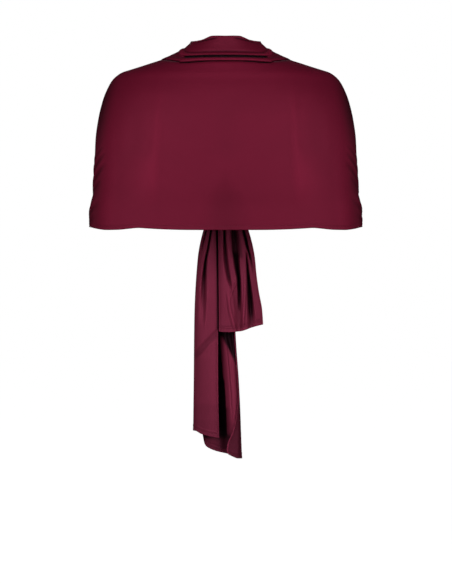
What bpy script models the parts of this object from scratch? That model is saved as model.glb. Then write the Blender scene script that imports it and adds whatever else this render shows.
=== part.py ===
"""An evening stole of dark red satin, worn round the shoulders and tied at the chest.

One long cloth lies across the back, with its upper edge folded over in soft rolls round the neck.
Its two ends run over the arms to a knot at the front, and hang from it as a long and a short tail.
The wearer faces -Y, +X is the wearer's left, +Z is up. The origin is between the shoulders, at
about the height where the cloth leaves the neck. The tables and sizes below are in millimetres.
"""

import math
from collections import namedtuple

import bpy
import numpy as np

MM = 0.001

# The cloth's wall, and the air where one stretch of it is parted from the next.
WALL = 1.2
SEAM = 0.4

# A fold is no deeper than its pitch lets the wall turn in, with this much to spare.
TURN_ROOM = 1.15

# The satin's colour, as linear values, and its finish.
SATIN_COLOUR = (0.145, 0.012, 0.030, 1.0)
SATIN_ROUGHNESS = 0.42
SATIN_SHEEN = 0.25

# The shape that the cloth is worn over: level cuts through a plain pair of shoulders with the arms
# down. half_width is to the side, back and front are the depths, and squareness is the power of the
# superellipse: 2 is an ellipse, and more is squarer.
Section = namedtuple("Section", "height half_width back front squareness")
FIGURE = [
    Section(46, 57, 55, 45, 2.0),
    Section(33, 61, 57, 51, 2.0),
    Section(24, 73, 58, 54, 2.0),
    Section(16, 87, 60, 57, 2.0),
    Section(8, 102, 62, 59, 2.0),
    Section(3, 115, 64, 61, 2.0),
    Section(-4, 136, 66, 64, 2.0),
    Section(-9, 151, 68, 66, 2.1),
    Section(-14, 167, 70, 68, 2.1),
    Section(-19, 182, 72, 70, 2.2),
    Section(-25, 191, 75, 72, 2.3),
    Section(-32, 198, 77, 75, 2.4),
    Section(-48, 207, 83, 81, 2.6),
    Section(-66, 214, 88, 88, 2.8),
    Section(-101, 223, 94, 102, 3.0),
    Section(-136, 227, 96, 113, 3.2),
    Section(-171, 229, 97, 119, 3.3),
    Section(-224, 232, 96, 121, 3.4),
    Section(-258, 237, 94, 118, 3.4),
    Section(-310, 239, 93, 114, 3.4),
]

# The lines along which the cloth turns at the neck, from its top to where the back hangs free.
# Each runs level behind the neck, dips a little beside it, and ends up on the shoulder.
Level = namedtuple("Level", "at_centre at_side dip")
NECK_LEVELS = [
    Level(39.9, 32.6, 2.4),
    Level(11.5, 24.0, 2.5),
    Level(2.7, 16.5, 3.1),
    Level(-5.3, 3.2, 3.3),
]
SIDE_POWER = 4

# A cut through the folds at the neck, from the free edge that is turned in, over the top, and down
# over two soft rolls. level counts the lines above. The others say how far the cloth stands out
# from the figure behind the neck, on the shoulder and at the knot.
Fold = namedtuple("Fold", "level behind shoulder knot")
NECK_FOLDS = [
    Fold(0.62, -8.0, -6.0, -4.5),
    Fold(0.30, -7.6, -5.5, -4.0),
    Fold(0.06, -5.6, -4.2, -3.0),
    Fold(0.00, -3.0, -2.4, -0.5),
    Fold(0.09, -0.6, -0.2, 1.5),
    Fold(0.55, 0.0, 0.8, 1.0),
    Fold(0.88, -0.4, 0.0, -0.5),
    Fold(1.00, -1.8, -0.6, -2.0),
    Fold(1.16, 1.6, 0.2, 1.0),
    Fold(1.48, 3.4, 1.2, 6.0),
    Fold(1.82, 2.6, 0.4, 1.5),
    Fold(2.00, -3.0, -0.6, -2.0),
    Fold(2.18, 2.2, -0.4, 1.5),
    Fold(2.50, 5.0, 0.8, 7.0),
    Fold(2.84, 4.2, 0.2, 2.0),
    Fold(3.00, -2.0, -1.0, -2.0),
]

# The lower hem across the back: its height at a distance from the middle.
Hem = namedtuple("Hem", "reach height")
BACK_HEM = [
    Hem(0, -296.2),
    Hem(62, -296.1),
    Hem(106, -295.0),
    Hem(135, -293.4),
    Hem(150, -292.5),
    Hem(167, -293.9),
    Hem(185, -295.4),
    Hem(203, -295.6),
    Hem(220, -293.5),
    Hem(239, -288.2),
]
HOLD = 6  # the power with which the waves of a panel's edge die out inside it

# Below the last fold the cloth comes back out to the figure over this share of the way to the hem.
SETTLE = 0.05

# Where a front enters the knot: its whole width is gathered along this line, which starts on top of
# the knot and runs down its side. share is the share of the gathered width, and each of the levels
# at the neck takes the same part of it.
Mouth = namedtuple("Mouth", "share reach height")
MOUTH = [
    Mouth(0.00, 8.5, -197.2),
    Mouth(0.14, 15.5, -197.8),
    Mouth(0.28, 20.8, -202.5),
    Mouth(0.40, 21.8, -210.0),
    Mouth(1.00, 21.4, -246.0),
]
MOUTH_LEVEL_SHARE = 0.13

# The pleats that run from the arms to the knot, from the neck down. at is the share of the way from
# the last fold to the hem at which a pleat's crest starts on the shoulder or arm, height is how far
# it stands out towards the knot, reach is the share of the way from the arm to the knot at which it
# starts to rise, and sag is how far it hangs slack between them.
Pleat = namedtuple("Pleat", "at height reach sag")
FRONT_PLEATS = [
    Pleat(0.10, 8, 0.30, 0),
    Pleat(0.27, 10, 0.12, 1),
    Pleat(0.43, 8, 0.36, 2),
    Pleat(0.60, 11, 0.08, 4),
    Pleat(0.75, 8, 0.26, 6),
    Pleat(0.92, 9, 0.04, 8),
]
GROOVE = -2.0
PLEAT_RISE = 1.4
ROWS_A_PLEAT = 4

# How finely each stretch is divided. The back's rows crowd together towards the neck.
BACK_COLUMNS = 36
PANEL_ROWS = 14
PANEL_CROWDING = 1.6
FRONT_COLUMNS = 15

# The steps in which a height on the figure's outline is found, the distance over which its slope
# is taken, and the turn in degrees from which an edge between two faces is drawn sharp.
OUTLINE_STEPS = 400
NEAR = 0.05
SHARP_ANGLE = 50

# The knot. Its core runs from side to side, pleated along its length. A band of the cloth is wound
# over it, aslant, and pleated along the band.
KNOT_CENTRE = (0.0, -125.0, -224.5)
KNOT_HALF_WIDTH = 20.6
KNOT_MOUTH = (13.5, 20.0)  # the half sizes of its ends, front to back and up and down
KNOT_CORE = (17.5, 22.5)  # and of its middle
KNOT_BAND_HALF_WIDTH = 14.5
KNOT_BAND_EDGE = 0.25  # the share of that over which the band's edge falls to the core
KNOT_BAND_SLANT = 5.5
KNOT_BAND_HEIGHT = 3.4
KNOT_BAND_PLEATS = 4
KNOT_CORE_PLEATS = 9
KNOT_PLEAT_HEIGHT = 0.8
KNOT_RINGS = 25
KNOT_SIDES = 36

# The tails. Each fold is a line down the cloth, and they follow each other across it, from one edge
# to the other: across and depth at each of the stations, and the height of the hem. The stations
# are shares of the way from the knot to the hem.
STATIONS = (0.0, 0.10, 0.24, 0.50, 1.0)
TailFold = namedtuple("TailFold", "across depth hem")
LONG_TAIL_TOP = -251.5
LONG_TAIL = [
    TailFold((7, 13, 13, 13, 11), (-116, -111, -109, -108, -107), -670),
    TailFold((10, 20, 24, 28, 28), (-114, -107, -104, -104, -103), -664),
    TailFold((13, 26, 36, 44, 44), (-119, -116, -110, -107, -106), -656),
    TailFold((16, 32, 44, 52, 54), (-117, -111, -108, -110, -109), -653),
    TailFold((20, 39, 50, 56, 58), (-122, -119, -117, -118, -118), -651),
    TailFold((16, 33, 45, 50, 48), (-128, -129, -128, -130, -131), -656),
    TailFold((10, 21, 29, 34, 36), (-124, -126, -130, -136, -138), -681),
    TailFold((5, 10, 13, 15, 16), (-131, -136, -140, -141, -141), -691),
    TailFold((0, -1, -2, -3, -4), (-125, -129, -135, -138, -138), -695),
    TailFold((-4, -8, -12, -14, -22), (-131, -135, -136, -136, -133), -701),
    TailFold((-6, -11, -14, -18, -29), (-125, -127, -128, -127, -125), -703),
    TailFold((-4, -8, -11, -14, -17), (-121, -121, -121, -121, -119), -702),
    TailFold((-2, -6, -8, -11, -7), (-118, -117, -118, -118, -115), -697),
]
SHORT_TAIL_TOP = -247.5
SHORT_TAIL = [
    TailFold((6, 11, 12, 12, 12), (-110, -103, -100, -99, -98), -475),
    TailFold((4, 8, 7, 4, 2), (-106, -98, -94, -94, -95), -475),
    TailFold((1, 3, 1, -4, -9), (-112, -110, -107, -100, -96), -475),
    TailFold((-2, -4, -9, -15, -18), (-106, -97, -93, -93, -94), -475),
    TailFold((-5, -11, -15, -20, -26), (-113, -112, -112, -109, -101), -474),
    TailFold((-8, -17, -23, -29, -33), (-107, -99, -96, -96, -97), -471),
    TailFold((-11, -23, -33, -41, -47), (-113, -112, -112, -111, -107), -466),
    TailFold((-14, -28, -38, -48, -57), (-108, -101, -99, -98, -100), -464),
    TailFold((-17, -32, -42, -52, -67), (-113, -110, -108, -106, -104), -461),
]
TAIL_ROWS = 15
COLUMNS_A_FOLD = 2


def smooth(knots, values, at):
    """A curve through the knots that never overshoots them, read at each of `at`."""
    knots, values, at = (np.asarray(each, float) for each in (knots, values, at))
    if knots[0] > knots[-1]:
        knots, values = knots[::-1], values[::-1]
    step = np.diff(knots)
    rise = np.diff(values) / step
    slope = np.zeros(len(knots))
    for i in range(1, len(knots) - 1):
        if rise[i - 1] * rise[i] > 0:
            before = 2 * step[i] + step[i - 1]
            after = step[i] + 2 * step[i - 1]
            slope[i] = (before + after) / (before / rise[i - 1] + after / rise[i])
    slope[0], slope[-1] = rise[0], rise[-1]
    at = np.clip(at, knots[0], knots[-1])
    i = np.clip(np.searchsorted(knots, at, side="right") - 1, 0, len(step) - 1)
    t = (at - knots[i]) / step[i]
    return (
        (2 * t**3 - 3 * t**2 + 1) * values[i]
        + (t**3 - 2 * t**2 + t) * step[i] * slope[i]
        + (3 * t**2 - 2 * t**3) * values[i + 1]
        + (t**3 - t**2) * step[i] * slope[i + 1]
    )


def mix(first, second, share):
    """From the first to the second."""
    return first + (second - first) * share


def ease(share):
    """From 0 to 1 with a soft start and end."""
    share = np.clip(share, 0, 1)
    return share * share * (3 - 2 * share)


def column(table, name):
    """One named column of a table."""
    return np.array([getattr(row, name) for row in table], float)


def figure(name, height):
    """One size of the figure's level cut at a height."""
    return smooth(column(FIGURE, "height"), column(FIGURE, name), height)


def behind(height, turn):
    """The point of the figure at a height, turned from the middle of the back towards a side."""
    power = figure("squareness", height)
    s, c = np.sin(turn), np.cos(turn)
    scale = (np.abs(s) ** power + np.abs(c) ** power) ** (-1 / power)
    x = figure("half_width", height) * scale * s
    y = figure("back", height) * scale * c
    return np.stack([x, y, height + 0 * x], axis=-1)


def in_front(x, height):
    """The point of the figure's front at a distance to the side and a height."""
    power = figure("squareness", height)
    share = np.clip(np.abs(x) / figure("half_width", height), 0, 1)
    y = -figure("front", height) * (1 - share**power) ** (1 / power)
    return np.stack([x + 0 * y, y, height + 0 * y], axis=-1)


def outwards(points):
    """The figure's outward direction at points on it."""

    def field(x, y, z):
        power = figure("squareness", z)
        depth = np.where(y >= 0, figure("back", z), figure("front", z))
        return np.abs(x / figure("half_width", z)) ** power + np.abs(y / depth) ** power

    x, y, z = points[..., 0], points[..., 1], points[..., 2]
    slopes = [
        field(x + NEAR, y, z) - field(x - NEAR, y, z),
        np.where(np.abs(y) < NEAR, 0.0, field(x, y + NEAR, z) - field(x, y - NEAR, z)),
        field(x, y, z + NEAR) - field(x, y, z - NEAR),
    ]
    return unit(np.stack(slopes, axis=-1))


def unit(vectors):
    """The same directions, of length 1."""
    return vectors / np.linalg.norm(vectors, axis=-1, keepdims=True)


def sideways(turn):
    """0 behind the neck and 1 on the shoulder or arm."""
    return np.abs(np.sin(turn))


def neck_height(level, turn):
    """How high a line of the neck's folds runs, at a turn from the middle of the back."""
    numbers = np.arange(len(NECK_LEVELS))
    at_centre, at_side, dip = (
        smooth(numbers, column(NECK_LEVELS, name), level) for name in Level._fields
    )
    share = sideways(turn)
    level_line = mix(at_centre, at_side, share**SIDE_POWER)
    return level_line - dip * np.sin(math.pi * share**2) ** 2


def heights_down(turn, bottom, shares):
    """Heights on the figure's outline at a turn, by the share of the cloth from the last fold."""
    top = neck_height(len(NECK_LEVELS) - 1, turn)
    fine = np.linspace(top, bottom, OUTLINE_STEPS)
    points = behind(fine, np.full_like(fine, turn))
    steps = np.linalg.norm(np.diff(points, axis=0), axis=1)
    along = np.concatenate([[0], np.cumsum(steps)])
    return np.interp(shares * along[-1], along, fine)


def directions(grid):
    """Unit normals of a grid of points."""
    return unit(np.cross(np.gradient(grid, axis=1), np.gradient(grid, axis=0)))


def level_sides(grid, normal, columns, side):
    """Ends a grid square to Y at its side columns, half a seam from where fronts and back meet."""
    grid[:, columns, 1] = side * SEAM / 2
    normal[:, columns, 1] = 0
    normal[:, columns] = unit(normal[:, columns])


def parted(grid, normal, row, way, columns):
    """A copy of the grid with one row moved half a seam down the cloth, or up where way is -1."""
    moved = grid.copy()
    down = np.cross(normal[row], np.gradient(grid[row], axis=0))
    down[columns, 1] = 0
    moved[row] += way * SEAM / 2 * unit(down)
    return moved


def cloth(name, grid, normal):
    """A closed wall of cloth about a grid of points."""
    rows, columns = grid.shape[:2]
    count = rows * columns
    sides = np.stack([grid + normal * WALL / 2, grid - normal * WALL / 2])

    def at(side, i, j):
        return side * count + i * columns + j

    faces = []
    for i in range(rows - 1):
        for j in range(columns - 1):
            a, b, c, d = (i, j), (i, j + 1), (i + 1, j + 1), (i + 1, j)
            if math.dist(grid[a], grid[c]) < math.dist(grid[b], grid[d]):
                triangles = [(a, b, c), (a, c, d)]
            else:
                triangles = [(a, b, d), (b, c, d)]
            for triangle in triangles:
                faces.append([at(0, *corner) for corner in triangle])
                faces.append([at(1, *corner) for corner in triangle[::-1]])
    rim = [(0, j) for j in range(columns)]
    rim += [(i, columns - 1) for i in range(1, rows)]
    rim += [(rows - 1, j) for j in range(columns - 2, -1, -1)]
    rim += [(i, 0) for i in range(rows - 2, 0, -1)]
    for first, second in zip(rim, rim[1:] + rim[:1]):
        faces.append([at(0, *second), at(0, *first), at(1, *first), at(1, *second)])
    solid(name, sides.reshape(-1, 3), faces)


def solid(name, points, faces):
    """An object of its own satin from points in millimetres and faces, turned outward."""
    mesh = bpy.data.meshes.new(name)
    mesh.from_pydata([tuple(point) for point in points * MM], [], faces)
    mesh.validate()
    if volume(points, faces) < 0:
        mesh.flip_normals()
    mesh.materials.append(satin(name))
    mesh.shade_smooth()
    mesh.set_sharp_from_angle(angle=math.radians(SHARP_ANGLE))
    bpy.context.scene.collection.objects.link(bpy.data.objects.new(name, mesh))


def volume(points, faces):
    """Six times the volume inside the faces: below 0 where they face in."""
    total = 0.0
    for face in faces:
        first = points[face[0]]
        for second, third in zip(face[1:-1], face[2:]):
            total += np.dot(first, np.cross(points[second], points[third]))
    return total


def satin(name):
    """Dark red satin."""
    material = bpy.data.materials.new(name)
    material.use_nodes = True
    shader = material.node_tree.nodes["Principled BSDF"]
    shader.inputs["Base Color"].default_value = SATIN_COLOUR
    shader.inputs["Roughness"].default_value = SATIN_ROUGHNESS
    shader.inputs["Metallic"].default_value = 0.0
    shader.inputs["Sheen Weight"].default_value = SATIN_SHEEN
    return material


def back_grid():
    """The back, from the edge turned in behind the neck to the hem, and from side to side."""
    turn = np.linspace(-math.pi / 2, math.pi / 2, BACK_COLUMNS + 1)
    aside = sideways(turn) ** SIDE_POWER

    level = column(NECK_FOLDS, "level")[:, None]
    behind_neck = column(NECK_FOLDS, "behind")[:, None]
    on_shoulder = column(NECK_FOLDS, "shoulder")[:, None]
    fold_heights = neck_height(level + 0 * turn, turn + 0 * level)
    fold_proud = mix(behind_neck, on_shoulder, aside)

    down = np.linspace(0, 1, PANEL_ROWS)[1:] ** PANEL_CROWDING
    centre = heights_down(0.0, BACK_HEM[0].height, down)
    side = heights_down(math.pi / 2, BACK_HEM[-1].height, down)
    down = down[:, None]
    heights = mix(centre[:, None], side[:, None], aside)
    straight = mix(fold_heights[-1, BACK_COLUMNS // 2], fold_heights[-1, 0], aside)
    reach = np.abs(behind(heights[-1], turn)[..., 0])
    hem = smooth(column(BACK_HEM, "reach"), column(BACK_HEM, "height"), reach)
    heights += (fold_heights[-1] - straight) * (1 - down) ** HOLD
    heights += (hem - heights[-1]) * down**HOLD
    proud = fold_proud[-1] * (1 - ease(down / SETTLE))

    heights = np.concatenate([fold_heights, heights])
    base = behind(heights, turn + 0 * heights)
    return base + outwards(base) * np.concatenate([fold_proud, proud])[..., None]


def back():
    """The back in two stretches: the folds at the neck, and the panel that hangs from them."""
    grid = back_grid()
    normal = directions(grid)
    sides = [0, -1]
    level_sides(grid, normal, sides, 1)
    seam = len(NECK_FOLDS)
    upper = parted(grid, normal, seam, -1, sides)
    lower = parted(grid, normal, seam, 1, sides)
    cloth("neck_folds", upper[: seam + 1], normal[: seam + 1])
    cloth("back_panel", lower[seam:], normal[seam:])


FrontLine = namedtuple("FrontLine", "start mouth at_arm at_knot reach sag")


def front_lines():
    """The lines of a front from the turned-in edge down, and the numbers of those in grooves."""
    lines = []
    grooves = [0]
    for fold in NECK_FOLDS:
        if fold.level in range(1, len(NECK_LEVELS)):
            grooves.append(len(lines))
        start = float(neck_height(fold.level, math.pi / 2))
        mouth = MOUTH_LEVEL_SHARE * fold.level
        lines.append(FrontLine(start, mouth, fold.shoulder, fold.knot, 0, 0))
    mouth_top = lines[-1].mouth
    crests = column(FRONT_PLEATS, "at")
    edges = np.concatenate([[0], (crests[1:] + crests[:-1]) / 2, [1]])
    for pleat, first, last in zip(FRONT_PLEATS, edges, edges[1:]):
        for k in range(1, ROWS_A_PLEAT + 1):
            down = np.interp(k / ROWS_A_PLEAT, (0, 0.5, 1), (first, pleat.at, last))
            start = float(heights_down(math.pi / 2, BACK_HEM[-1].height, down))
            swell = (1 - math.cos(2 * math.pi * k / ROWS_A_PLEAT)) / 2
            line = FrontLine(
                start=start,
                mouth=mix(mouth_top, 1, down),
                at_arm=NECK_FOLDS[-1].shoulder * (1 - ease(down / SETTLE)),
                at_knot=mix(GROOVE, pleat.height, swell),
                reach=pleat.reach,
                sag=pleat.sag,
            )
            lines.append(line)
        grooves.append(len(lines) - 1)
    return lines, grooves


def front_grid():
    """The wearer's left front: lines that run straight from the shoulder and arm to the knot."""
    lines, grooves = front_lines()
    start, mouth, at_arm, at_knot, reach, sag = (
        column(lines, name)[:, None] for name in FrontLine._fields
    )
    share = 1 - np.cos(np.linspace(0, math.pi / 2, FRONT_COLUMNS))
    mouth_reach = smooth(column(MOUTH, "share"), column(MOUTH, "reach"), mouth)
    mouth_height = smooth(column(MOUTH, "share"), column(MOUTH, "height"), mouth)
    x = mix(figure("half_width", start), mouth_reach, share)
    z = mix(start, mouth_height, share) - sag * np.sin(math.pi * share)
    base = in_front(x, z)
    rise = np.clip((share - reach) / (1 - reach), 0, 1) ** PLEAT_RISE
    height = mix(at_arm, at_knot, rise) - GROOVE
    for first, last in zip(grooves, grooves[1:]):
        steps = np.linalg.norm(np.diff(base[first : last + 1], axis=0), axis=2)
        deepest = steps.sum(axis=0) ** 2 / (math.pi**2 * WALL * TURN_ROOM)
        tallest = np.abs(height[first : last + 1]).max(axis=0)
        height[first:last] *= np.minimum(1, deepest / tallest)
    return base + outwards(base) * (GROOVE + height)[..., None]


def fronts():
    """Both fronts: the right one mirrors the left."""
    grid = front_grid()
    normal = directions(grid)
    level_sides(grid, normal, [0], -1)
    mirror = np.array([-1, 1, 1])
    cloth("front_left", grid, normal)
    cloth("front_right", grid * mirror, normal * mirror)


def knot():
    """The knot: rings round a line from side to side, with the band raised on them."""
    along = np.linspace(-1, 1, KNOT_RINGS)[:, None]
    angle = np.arange(KNOT_SIDES) * 2 * math.pi / KNOT_SIDES
    across = KNOT_HALF_WIDTH * along + 0 * angle
    in_band = (across - KNOT_BAND_SLANT * np.sin(angle)) / KNOT_BAND_HALF_WIDTH
    band = ease((1 - np.abs(in_band)) / KNOT_BAND_EDGE)
    band_top = KNOT_BAND_HEIGHT + KNOT_PLEAT_HEIGHT * np.cos(math.pi * KNOT_BAND_PLEATS * in_band)
    core_top = KNOT_PLEAT_HEIGHT * np.cos(KNOT_CORE_PLEATS * angle)
    proud = mix(core_top, band_top, band)
    bulge = 1 - along**2
    depth = mix(KNOT_MOUTH[0], KNOT_CORE[0], bulge) + proud
    height = mix(KNOT_MOUTH[1], KNOT_CORE[1], bulge) + proud
    rings = np.stack([across, -depth * np.cos(angle), height * np.sin(angle)], axis=-1)
    ends = np.array([[-KNOT_HALF_WIDTH, 0, 0], [KNOT_HALF_WIDTH, 0, 0]])
    points = np.concatenate([rings.reshape(-1, 3), ends]) + np.array(KNOT_CENTRE)

    faces = []
    last_ring = (KNOT_RINGS - 1) * KNOT_SIDES
    first_end = KNOT_RINGS * KNOT_SIDES
    for k in range(KNOT_SIDES):
        after = (k + 1) % KNOT_SIDES
        for ring in range(0, last_ring, KNOT_SIDES):
            above = ring + KNOT_SIDES
            faces.append([ring + after, ring + k, above + k, above + after])
        faces.append([k, after, first_end])
        faces.append([last_ring + after, last_ring + k, first_end + 1])
    solid("knot", points, faces)


def tail(name, top, folds):
    """A tail: the cloth runs across through its folds, and each of them runs down to the hem."""
    down = np.linspace(0, 1, TAIL_ROWS)
    numbers = np.arange(len(folds))
    fine = np.linspace(0, len(folds) - 1, COLUMNS_A_FOLD * (len(folds) - 1) + 1)
    across = np.array([smooth(STATIONS, fold.across, down) for fold in folds])
    depth = np.array([smooth(STATIONS, fold.depth, down) for fold in folds])
    hems = smooth(numbers, column(folds, "hem"), fine)
    rows = [
        np.stack(
            [
                smooth(numbers, across[:, i], fine),
                smooth(numbers, depth[:, i], fine),
                mix(top, hems, down[i]),
            ],
            axis=-1,
        )
        for i in range(TAIL_ROWS)
    ]
    grid = np.array(rows)
    cloth(name, grid, directions(grid))


def main():
    for old in list(bpy.data.objects):
        bpy.data.objects.remove(old)
    back()
    fronts()
    knot()
    tail("tail_long", LONG_TAIL_TOP, LONG_TAIL)
    tail("tail_short", SHORT_TAIL_TOP, SHORT_TAIL)


main()
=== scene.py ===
"""The looks of the evening stole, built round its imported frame.

The wearer faces -Y, +X is the wearer's left, +Z is up. The camera stands behind the wearer. The
cloth is worked out in millimetres. The meshes, the studio and the cuts are in metres.
"""

import math
from collections import namedtuple

import bpy
import numpy as np
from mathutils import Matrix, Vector


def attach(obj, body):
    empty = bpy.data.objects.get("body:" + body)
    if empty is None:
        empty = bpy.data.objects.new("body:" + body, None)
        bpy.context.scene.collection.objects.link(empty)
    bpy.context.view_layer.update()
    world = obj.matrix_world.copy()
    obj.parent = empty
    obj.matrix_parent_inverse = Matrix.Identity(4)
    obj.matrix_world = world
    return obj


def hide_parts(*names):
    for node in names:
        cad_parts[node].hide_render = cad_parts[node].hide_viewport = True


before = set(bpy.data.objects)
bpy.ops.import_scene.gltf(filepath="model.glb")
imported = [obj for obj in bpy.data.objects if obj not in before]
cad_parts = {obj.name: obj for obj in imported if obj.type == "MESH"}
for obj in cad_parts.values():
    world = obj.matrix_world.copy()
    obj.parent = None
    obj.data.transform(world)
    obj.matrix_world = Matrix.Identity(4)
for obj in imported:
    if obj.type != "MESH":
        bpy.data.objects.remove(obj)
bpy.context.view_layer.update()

MM = 0.001


def table(columns, *rows):
    """A list of rows whose values are named by their columns."""
    kind = namedtuple("Row", columns)
    return [kind(*row) for row in rows]


# The shell is thinner than the solid wall that it stands for, but turns in the same way.
SATIN_THICKNESS = 0.4
WALL = 1.2
TURN_ROOM = 1.15  # how much wider than the wall a turn of the cloth has to be

# The figure that the cloth is worn over, by its level cuts.
FIGURE = table(
    "height half_width back front squareness",
    (46, 57, 55, 45, 2),
    (33, 61, 57, 51, 2),
    (24, 73, 58, 54, 2),
    (16, 87, 60, 57, 2),
    (8, 102, 62, 59, 2),
    (3, 115, 64, 61, 2),
    (-4, 136, 66, 64, 2),
    (-9, 151, 68, 66, 2.1),
    (-14, 167, 70, 68, 2.1),
    (-19, 182, 72, 70, 2.2),
    (-25, 191, 75, 72, 2.3),
    (-32, 198, 77, 75, 2.4),
    (-48, 207, 83, 81, 2.6),
    (-66, 214, 88, 88, 2.8),
    (-101, 222.4, 94, 102, 3),
    (-136, 227, 96, 113, 3.2),
    (-171, 228.4, 97, 119, 3.3),
    (-224, 230.7, 96, 121, 3.4),
    (-258, 237, 94, 118, 3.4),
    (-310, 239, 93, 114, 3.4),
)

# The lines along which the cloth turns at the neck, from its top to where the back hangs free.
# They take the side's height late, as a power of the share of the way there.
NECK_LEVELS = table(
    "at_centre at_side dip",
    (39.9, 32.6, 2.4),
    (11.5, 24, 2.5),
    (2.7, 16.5, 3.1),
    (-5.3, 3.2, 3.3),
)
SIDE_POWER = 4

# The heights of the turned edge itself, by the share of the way from the middle to the side.
EDGE_LINE = "share height"
RIM = table(
    EDGE_LINE,
    (0, 40.7),
    (0.40, 41.3),
    (0.45, 41.1),
    (0.53, 39.3),
    (0.70, 35),
    (0.85, 34),
    (0.95, 34.6),
    (1, 36.1),
)
RIM_FADE = 1.5

# A cut through the folds at the neck, from the free edge that is turned in, over the top, and down
# over two soft rolls that overhang the grooves below them. `behind`, `shoulder` and `knot` say how
# far the cloth stands out from the figure there, and `deeper` how much further it goes in where the
# grooves are open. The last two columns give the shade painted in the grooves and under the rolls, in
# the open stretch and beside it, with a highlight painted on a roll where they are below 0.
NECK_FOLDS = table(
    "level deeper behind shoulder knot dark dark_side",
    (0.62, 0, -8, -6, -4.5, 0.4, 0.2),
    (0.30, 0, -7.6, -5.5, -4, 0.2, 0.1),
    (0.06, 0, -5.6, -4.2, -3, 0, 0),
    (0, 0, -3, -1.2, -0.5, 0, 0),
    (0.09, 0, -0.6, 1.2, 1.5, 0, 0),
    (0.46, 0, 0.2, 1.4, 1, 0.18, 0),
    (0.82, 0, -0.4, 0.2, -0.5, 0.18, 0),
    (0.93, 0, -1.4, -0.3, -2, 0.62, 0.25),
    (1.08, 0, 0.8, 0.7, 1, 0, 0),
    (1.34, 0, 2.6, 1.3, 6, -0.04, 0),
    (1.49, 0, 2.7, 1.1, 4, 0, 0),
    (1.56, 0, 2.2, 0.8, 2.5, 0.2, 0),
    (1.60, -2.5, 1, 0.4, 0.5, 0.9, 0.1),
    (1.72, -8, 0.2, 0.1, -1, 1, 0.1),
    (1.84, -13, -0.2, 0, -2, 1, 0.1),
    (1.96, -8, 0.3, 0.1, -1, 1, 0.1),
    (2.08, -2.5, 1.6, 0.3, 0, 0.95, 0.1),
    (2.12, 0, 3.2, 0.5, 1.5, 0.15, 0),
    (2.28, 0, 4.4, 0.7, 4, -0.22, 0),
    (2.48, 0, 4.8, 0.8, 7, -0.25, 0),
    (2.68, 0, 4.2, 0.6, 4.5, 0, 0),
    (2.77, 0, 2.8, 0.2, 1.5, 0.5, 0.3),
    (2.82, -3, 0.8, -0.1, -0.5, 0.98, 0.85),
    (2.87, -5.5, -0.4, -0.4, -1.6, 1, 0.9),
    (2.93, -2, -0.6, -0.4, -2, 0.5, 0.4),
    (3, 0, -0.4, -0.3, -2, -0.1, 0),
)
NECK_GROOVES = (0, 7, 14, 25)  # the numbers of the rows that lie in grooves
STEPS_A_CUT = 24
NECK_ROWS = 84
GROOVE_REACH = 66.0  # the grooves are fully open to here from the middle of the back
GROOVE_END = 13.0  # and close over this much more
HOOK = 0.10  # how far the grooves run up for each millimetre that they run in

# The heights of the line under the lower roll, by the same share. It dips at both ends of the open
# stretch and then runs up to the shoulders.
LAST_LINE = table(
    EDGE_LINE,
    (0, -4.8),
    (0.17, -5),
    (0.32, -6),
    (0.46, -7.4),
    (0.53, -7.2),
    (0.60, -3.8),
    (0.70, -1.6),
    (0.80, 0.2),
    (0.92, 2.2),
    (1, 3.2),
)

# Light and shade painted into the wrap's colour. The sides of the neck's folds and the top of the
# back are painted brighter, and the shoulders' ends are painted in shade where the cloth turns
# sideways.
BACK_FADE = 20.0  # the back's painted light and shade and its relief fade in over this depth behind the arms
RIDGE_PAINTED_SHADING = 0.10  # a highlight painted on the back's ridges and shade in its hollows, for each millimetre they stand out or sink
HOLLOW_PAINTED_SHADE = 0.04  # shade painted in its low hollow, for each millimetre that it sinks
COLLAR_PAINTED_HIGHLIGHT = 0.50
COLLAR_REACH = 72.0
COLLAR_LEVELS = (1.45, 1.65)
TOP_PAINTED_HIGHLIGHT = 0.14
TOP_HEIGHT = -14.0
TOP_SPREAD = 30.0
PANEL_FROM = 2.9  # the level from which the cloth counts as the back
END_SHADE = 0.62
END_TURN = (0.50, 0.95)  # as the cloth turns from facing back to facing sideways
END_HEIGHTS = (5.0, -150.0)

# The hem of the back: its heights by the distance from the middle.
BACK_HEM = table(
    "reach height",
    (0, -296.2),
    (62, -296.1),
    (106, -295),
    (135, -293.4),
    (150, -292.5),
    (167, -293.9),
    (185, -295.4),
    (203, -295.6),
    (220, -293.5),
    (239, -288.2),
)
HOLD = 6  # how closely the panel's two ends keep to the last fold and to the hem, as a power
SETTLE = 0.05  # the share of the panel over which it settles from the last fold onto the figure

# Where the wearer's left front runs into the knot, by the share of the way down its end.
MOUTH = table(
    "share reach height",
    (0, 8.5, -197.2),
    (0.14, 15.5, -197.8),
    (0.28, 20.8, -202.5),
    (0.40, 21.8, -210),
    (1, 21.4, -246),
)
MOUTH_LEVEL_SHARE = 0.13  # how much of that way each level of the neck's folds takes up

# The fronts' pleats, by the share of the way down: how high each stands at the knot, from what
# share of the way there it rises, and how far it sags between the arm and the knot.
FRONT_PLEATS = table(
    "at height reach sag",
    (0.10, 8, 0.30, 0),
    (0.27, 10, 0.12, 1),
    (0.43, 8, 0.36, 2),
    (0.60, 11, 0.08, 4),
    (0.75, 8, 0.26, 6),
    (0.92, 9, 0.04, 8),
)
GROOVE = -2.0  # where the cloth lies between two pleats
PLEAT_RISE = 1.4  # how late they rise, as a power

# How finely the wrap is divided: columns across the back and across each front, rows down the
# panel, and rows in the last stretch above its hem.
BACK_COLUMNS = 150
FRONT_COLUMNS = 56
PANEL_ROWS = 84
HEM_ROWS = 8
HEM_SHARE = 0.045
DENSE_AT = 0.60  # the rows are closest together here, where the arms' creases are
DENSE_SPREAD = 0.22
DENSE_GAIN = 1.1
OUTLINE_STEPS = 400
NEAR = 0.05  # the step for reading a slope

# The ends of the fronts run on into the knot by this much.
TUCK = 7.0
TUCK_COLUMNS = 3


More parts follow.
